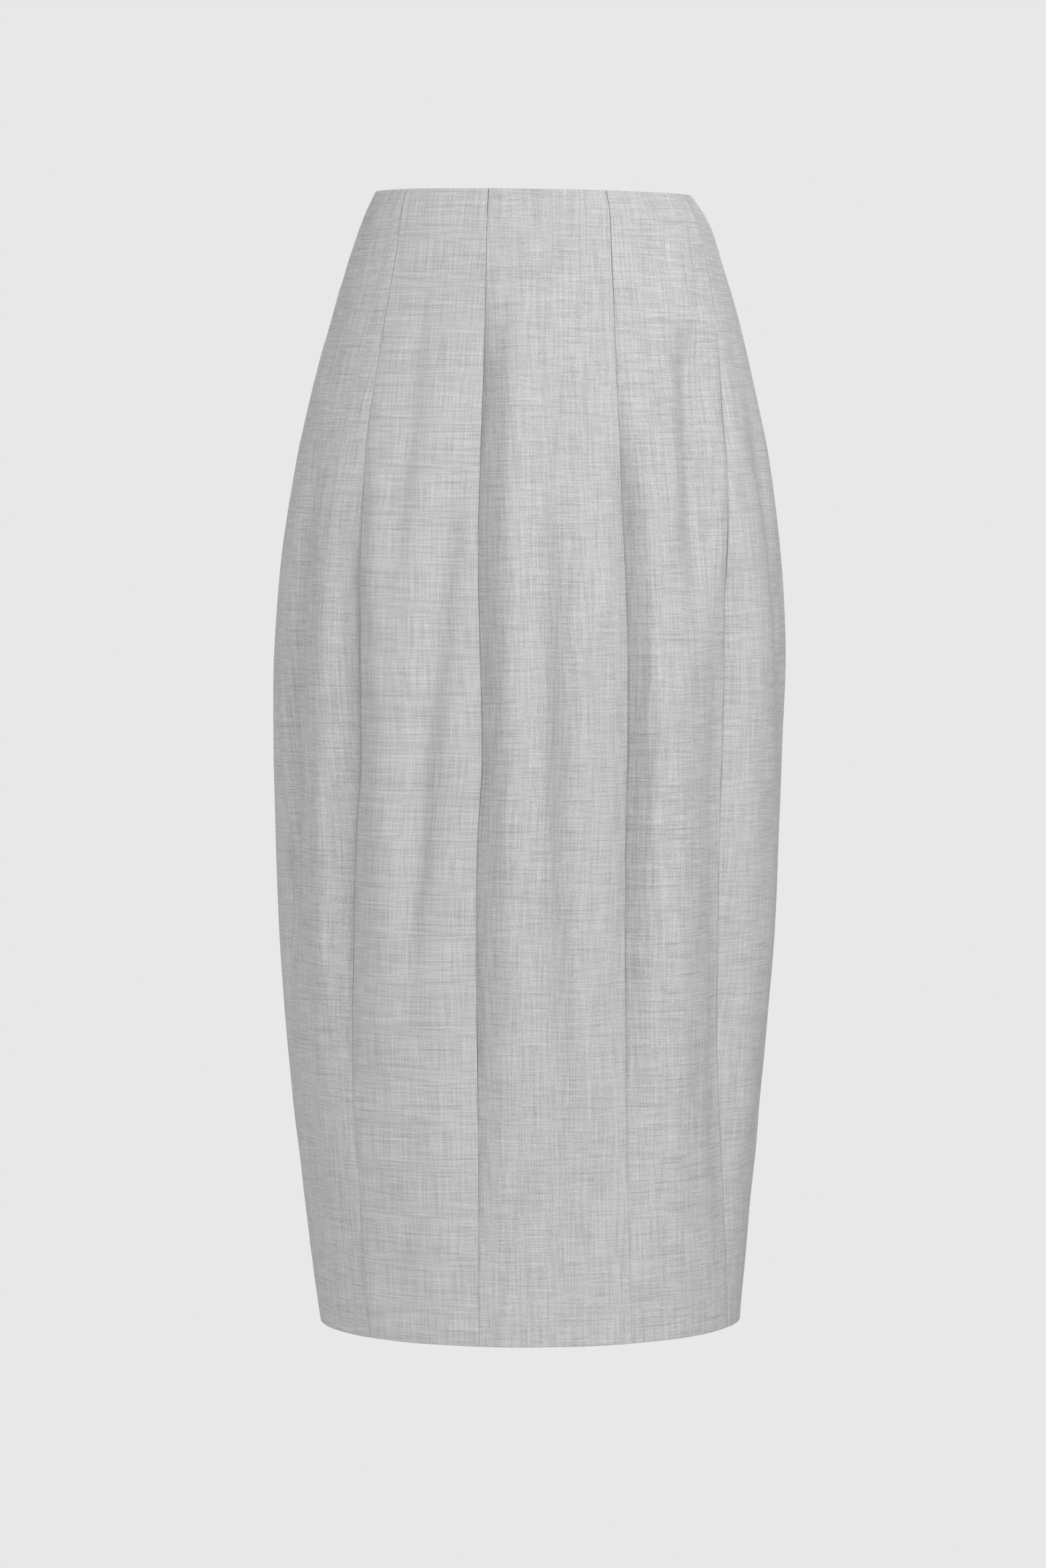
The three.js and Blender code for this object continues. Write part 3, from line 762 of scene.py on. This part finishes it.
def streak_group():
    """Noise drawn out into streaks of a given size; the seed moves it elsewhere."""
    inputs = (("Cloth", "Vector"), ("Size", "Vector"), ("Seed", "Float"), ("Detail", "Float"))
    group, start, end = new_group("streaks", inputs, (("Value", "Float"),))
    scaled = vector_maths(group, "DIVIDE", start.outputs["Cloth"], start.outputs["Size"])
    noise = group.nodes.new("ShaderNodeTexNoise")
    noise.noise_dimensions = "3D"
    noise.inputs["Scale"].default_value = 1
    noise.inputs["Roughness"].default_value = 0.6
    shift = group.nodes.new("ShaderNodeCombineXYZ")
    put(shift.inputs["Z"], start.outputs["Seed"], group)
    put(noise.inputs["Vector"], vector_maths(group, "ADD", scaled, shift.outputs["Vector"]), group)
    put(noise.inputs["Detail"], start.outputs["Detail"], group)
    put(end.inputs["Value"], noise.outputs[0], group)
    return group


def weave_group():
    """A plain weave: 1 where the yarn that runs down is on top, 0 where the other is."""
    inputs = (("Cloth", "Vector"), ("Pitch", "Float"))
    group, start, end = new_group("plain weave", inputs, (("Value", "Float"),))
    parts = group.nodes.new("ShaderNodeSeparateXYZ")
    put(parts.inputs["Vector"], start.outputs["Cloth"], group)
    turned = maths(group, "DIVIDE", math.pi, start.outputs["Pitch"])
    across = maths(group, "SINE", maths(group, "MULTIPLY", parts.outputs["X"], turned))
    down = maths(group, "SINE", maths(group, "MULTIPLY", parts.outputs["Y"], turned))
    both = maths(group, "MULTIPLY", across, down)
    put(end.inputs["Value"], span(group, both, -0.6, 0.6), group)
    return group


STREAKS = streak_group()
PLAIN_WEAVE = weave_group()
print("node groups:", [group.name for group in bpy.data.node_groups])


# %% Melange as one group
YARN_RANGE = (0.3, 0.7)  # of the noise that runs from light to dark yarn
FLECK_SHARE = 0.3  # how far a fleck turns the colour


def streaks(tree, cloth, size, seed, detail=2.0):
    node = tree.nodes.new("ShaderNodeGroup")
    node.node_tree = STREAKS
    put(node.inputs["Cloth"], cloth, tree)
    node.inputs["Size"].default_value = (size["across"], size["down"], 1)
    node.inputs["Seed"].default_value = seed
    node.inputs["Detail"].default_value = detail
    return node.outputs["Value"]


def melange_group():
    """Colour and height of the cloth, from its place in millimetres across and down."""
    outputs = (("Color", "Color"), ("Height", "Float"))
    tree, start, end = new_group("melange", (("Cloth", "Vector"), ("Seed", "Float")), outputs)
    shift = tree.nodes.new("ShaderNodeCombineXYZ")
    put(shift.inputs["Z"], start.outputs["Seed"], tree)
    cloth = vector_maths(tree, "ADD", start.outputs["Cloth"], shift.outputs["Vector"])

    slub = span(tree, streaks(tree, cloth, WEFT_SLUB, 3.1), 0.5, 0.7)
    patch = span(tree, streaks(tree, cloth, PATCH, 8.7, 1.0), 0.35, 0.65, 0.7, 1.0)
    slub = maths(tree, "MULTIPLY", slub, patch)
    warp = span(tree, streaks(tree, cloth, WARP, 15.3, 1.0), *YARN_RANGE)
    weft = span(tree, streaks(tree, cloth, WEFT, 22.9, 1.0), *YARN_RANGE)
    grain = span(tree, streaks(tree, cloth, GRAIN, 41.3, 1.0), *YARN_RANGE)
    band = span(tree, streaks(tree, cloth, BAND, 55.1), *YARN_RANGE)
    fleck = streaks(tree, cloth, FLECK, 31.7, 1.0)
    weave = tree.nodes.new("ShaderNodeGroup")
    weave.node_tree = PLAIN_WEAVE
    put(weave.inputs["Cloth"], cloth, tree)
    weave.inputs["Pitch"].default_value = YARN_PITCH

    shares = ((warp, 0.33), (weft, 0.32), (slub, 0.27), (grain, 0.3), (band, 0.05))
    dark = maths(tree, "MULTIPLY", weave.outputs["Value"], 0.05)
    for value, share in shares:
        dark = maths(tree, "MULTIPLY_ADD", value, share, dark)
    colour = blend(tree, dark, LIGHT_WOOL, DARK_WOOL)
    colour = blend(tree, span(tree, fleck, 0.55, 0.7, 0, FLECK_SHARE), colour, COOL_WOOL)
    colour = blend(tree, span(tree, fleck, 0.45, 0.3, 0, FLECK_SHARE), colour, WARM_WOOL)
    put(end.inputs["Color"], colour, tree)
    raised = maths(tree, "MULTIPLY_ADD", slub, 0.8, weave.outputs["Value"])
    put(end.inputs["Height"], raised, tree)
    return tree


MELANGE = melange_group()
print("melange nodes:", len(MELANGE.nodes))


# %% Wool material
def wool_material(name, seed):
    material = bpy.data.materials.new(name)
    material.use_nodes = True
    tree = material.node_tree
    shader = tree.nodes["Principled BSDF"]
    shader.inputs["Roughness"].default_value = 0.9
    shader.inputs["Specular IOR Level"].default_value = 0.2
    shader.inputs["Sheen Weight"].default_value = 0.06
    shader.inputs["Sheen Roughness"].default_value = 0.5
    place = tree.nodes.new("ShaderNodeUVMap")
    place.uv_map = "cloth"
    cloth = vector_maths(tree, "SCALE", place.outputs["UV"])
    cloth.node.inputs["Scale"].default_value = 1 / MM
    melange = tree.nodes.new("ShaderNodeGroup")
    melange.node_tree = MELANGE
    put(melange.inputs["Cloth"], cloth, tree)
    melange.inputs["Seed"].default_value = seed
    bump = tree.nodes.new("ShaderNodeBump")
    bump.inputs["Strength"].default_value = 0.25
    bump.inputs["Distance"].default_value = 0.12 * MM
    put(bump.inputs["Height"], melange.outputs["Height"], tree)
    put(shader.inputs["Base Color"], melange.outputs["Color"], tree)
    put(shader.inputs["Normal"], bump.outputs["Normal"], tree)
    return material


for k, cloth in enumerate(cloth_panels):
    dress(cloth, wool_material("wool_" + PANELS[k]["name"], 9.3 * k))
print("wool on", len(cloth_panels), "panels")

# %% [markdown]
# ## The concealed zip
#
# The centre back seam is closed with a concealed zip. Two knitted tapes lie inside, one along each
# edge of the seam. The coil is a row of small nylon loops, sewn alternately to one tape and the
# other, and a line of stitches holds each tape. The slider and its pull tab are hard pieces of the
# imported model, which stay as they are and only get their metal.
#
# A tape is one more grid of cloth points, a little inside the skirt. A loop of the coil is a small
# ring, so one ring is made with the torus tool and its copies are joined into one mesh.

# %% Sizes of the zip
ZIP = {"top": 0.6, "bottom": 200, "inside": 1.85}  # down from the waist edge, and behind the face
TAPE = {"width": 12, "thickness": 0.6, "inset": 1.5, "rows": 81, "columns": 7}
COIL = {"top": 17.4, "pitch": 1.3, "inside": 2.62, "reach": 0.62, "offset": 0.42, "wire": 0.16}
STITCH = {"top": 3, "pitch": 2.6, "length": 1.7, "radius": 0.11, "clear": 0.02}
STITCH_LINES = (-9.5, -3.2, 3.2, 9.5)  # mm to the wearer's left of the centre back seam
print("zip", ZIP["bottom"], "mm long")


# %% Zip tapes
def back_point(across, down, inside):
    """A point behind the centre back seam: mm to the wearer's left, down, and behind the face."""
    return cloth_point(180 - across / arc_per_degree(180, down), down, -inside)


def add_tape(side, sign):
    across = sign * (TAPE["inset"] + TAPE["width"] * np.linspace(0, 1, TAPE["columns"]))
    if sign > 0:
        across = across[::-1]
    across, down = np.meshgrid(across, np.linspace(ZIP["top"], ZIP["bottom"], TAPE["rows"]))
    points = back_point(across, down, ZIP["inside"]).reshape(-1, 3)
    faces = grid_faces(TAPE["rows"], TAPE["columns"], lambda row, column: True)
    uv = np.stack([across, down], -1).reshape(-1, 2) * MM
    tape = add_mesh("zip_tape_cloth_" + side, points, faces, uv)
    solidify(tape, TAPE["thickness"])
    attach(tape, "skirt")
    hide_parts("zip_tape_" + side)
    return tape


zip_tapes = [add_tape("left", 1), add_tape("right", -1)]
print("zip tapes:", [tape.name for tape in zip_tapes])


# %% Coil and stitches
def copies(name, pattern, places):
    """One mesh of copies of a pattern's mesh, each moved and tilted; the pattern goes."""
    points = np.array([tuple(v.co) for v in pattern.data.vertices])
    faces = [tuple(p.vertices) for p in pattern.data.polygons]
    all_points, all_faces = [], []
    for place, lean in places:
        cosine, sine = math.cos(lean), math.sin(lean)
        turned = points @ np.array([(1, 0, 0), (0, cosine, sine), (0, -sine, cosine)])
        all_faces += [tuple(p + len(all_points) * len(points) for p in face) for face in faces]
        all_points.append(turned + place)
    joined = add_mesh(name, np.concatenate(all_points), all_faces)
    bpy.data.objects.remove(pattern)
    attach(joined, "skirt")
    return joined


def lean_at(down):
    """How far the cloth leans back at the centre back seam, in radians."""
    above, below = back_point(0, down - 2, 0), back_point(0, down + 2, 0)
    return math.atan2(below[1] - above[1], above[2] - below[2])


def add_coil():
    bpy.ops.object.select_all(action="DESELECT")
    bpy.ops.mesh.primitive_torus_add(
        major_segments=10, minor_segments=5, major_radius=COIL["reach"] * MM,
        minor_radius=COIL["wire"] * MM)
    ring = bpy.context.object
    downs = np.arange(COIL["top"], ZIP["bottom"] - 1, COIL["pitch"] / 2)
    places = []
    for k, down in enumerate(downs):
        side = COIL["offset"] if k % 2 else -COIL["offset"]
        places.append((back_point(side, down, COIL["inside"]), lean_at(down)))
    coil = copies("zip_coil_loops", ring, places)
    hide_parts("zip_coil")
    return coil


def add_stitches():
    bpy.ops.object.select_all(action="DESELECT")
    bpy.ops.mesh.primitive_cylinder_add(
        vertices=6, radius=STITCH["radius"] * MM, depth=STITCH["length"] * MM)
    stitch = bpy.context.object
    places = []
    inside = ZIP["inside"] + TAPE["thickness"] + STITCH["clear"]
    for across in STITCH_LINES:
        for down in np.arange(STITCH["top"], ZIP["bottom"] - 2, STITCH["pitch"]):
            places.append((back_point(across, down, inside), lean_at(down)))
    stitches = copies("zip_stitches", stitch, places)
    return stitches


zip_coil = add_coil()
zip_stitches = add_stitches()
print("coil:", len(zip_coil.data.polygons), "faces, stitches:", len(zip_stitches.data.polygons))

# %% [markdown]
# The tape is knitted: fine ribs run along it. The coil is smooth nylon and the slider satin lacquer,
# all in the grey of the cloth, as a concealed zip is.

# %% Materials of the zip
TAPE_RIB = 0.9  # width of a rib of the knitted tape, mm
TAPE_GREY = (0.36, 0.355, 0.35)
RIB_PAINTED_SHADE = (0.31, 0.305, 0.30)  # painted shade between the ribs
RIB_PAINTED_LIGHT = (0.38, 0.375, 0.37)  # painted light on top of them
THREAD_GREY = (0.42, 0.415, 0.41)
NYLON_GREY = (0.40, 0.395, 0.39)
LACQUER_GREY = (0.36, 0.355, 0.35)


def plain_material(name, colour, roughness, metallic=0.0):
    material = bpy.data.materials.new(name)
    material.use_nodes = True
    shader = material.node_tree.nodes["Principled BSDF"]
    shader.inputs["Base Color"].default_value = (*colour, 1)
    shader.inputs["Roughness"].default_value = roughness
    shader.inputs["Metallic"].default_value = metallic
    return material


def tape_material():
    material = plain_material("zip_tape_knit", TAPE_GREY, 0.85)
    tree = material.node_tree
    shader = tree.nodes["Principled BSDF"]
    place = tree.nodes.new("ShaderNodeUVMap")
    place.uv_map = "cloth"
    parts = tree.nodes.new("ShaderNodeSeparateXYZ")
    put(parts.inputs["Vector"], place.outputs["UV"], tree)
    turned = maths(tree, "MULTIPLY", parts.outputs["X"], 2 * math.pi / (TAPE_RIB * MM))
    rib = span(tree, maths(tree, "SINE", turned), -1, 1)
    bump = tree.nodes.new("ShaderNodeBump")
    bump.inputs["Strength"].default_value = 0.4
    bump.inputs["Distance"].default_value = 0.2 * MM
    put(bump.inputs["Height"], rib, tree)
    put(shader.inputs["Normal"], bump.outputs["Normal"], tree)
    # The ribs' colour follows the same wave as their bump: painted shade in the grooves between them,
    # painted light on their tops.
    put(shader.inputs["Base Color"], blend(tree, rib, RIB_PAINTED_SHADE, RIB_PAINTED_LIGHT), tree)
    return material


knit = tape_material()
thread = plain_material("zip_thread", THREAD_GREY, 0.7)
nylon = plain_material("zip_nylon", NYLON_GREY, 0.4)
lacquer = plain_material("zip_lacquer", LACQUER_GREY, 0.42, 0.3)
for tape in zip_tapes:
    dress(tape, knit)
dress(zip_coil, nylon)
dress(zip_stitches, thread)
for name in ("zip_slider", "zip_pull"):
    dress(bpy.data.objects[name], lacquer)
print("zip materials:", [m.name for m in bpy.data.materials if m.name.startswith("zip")])
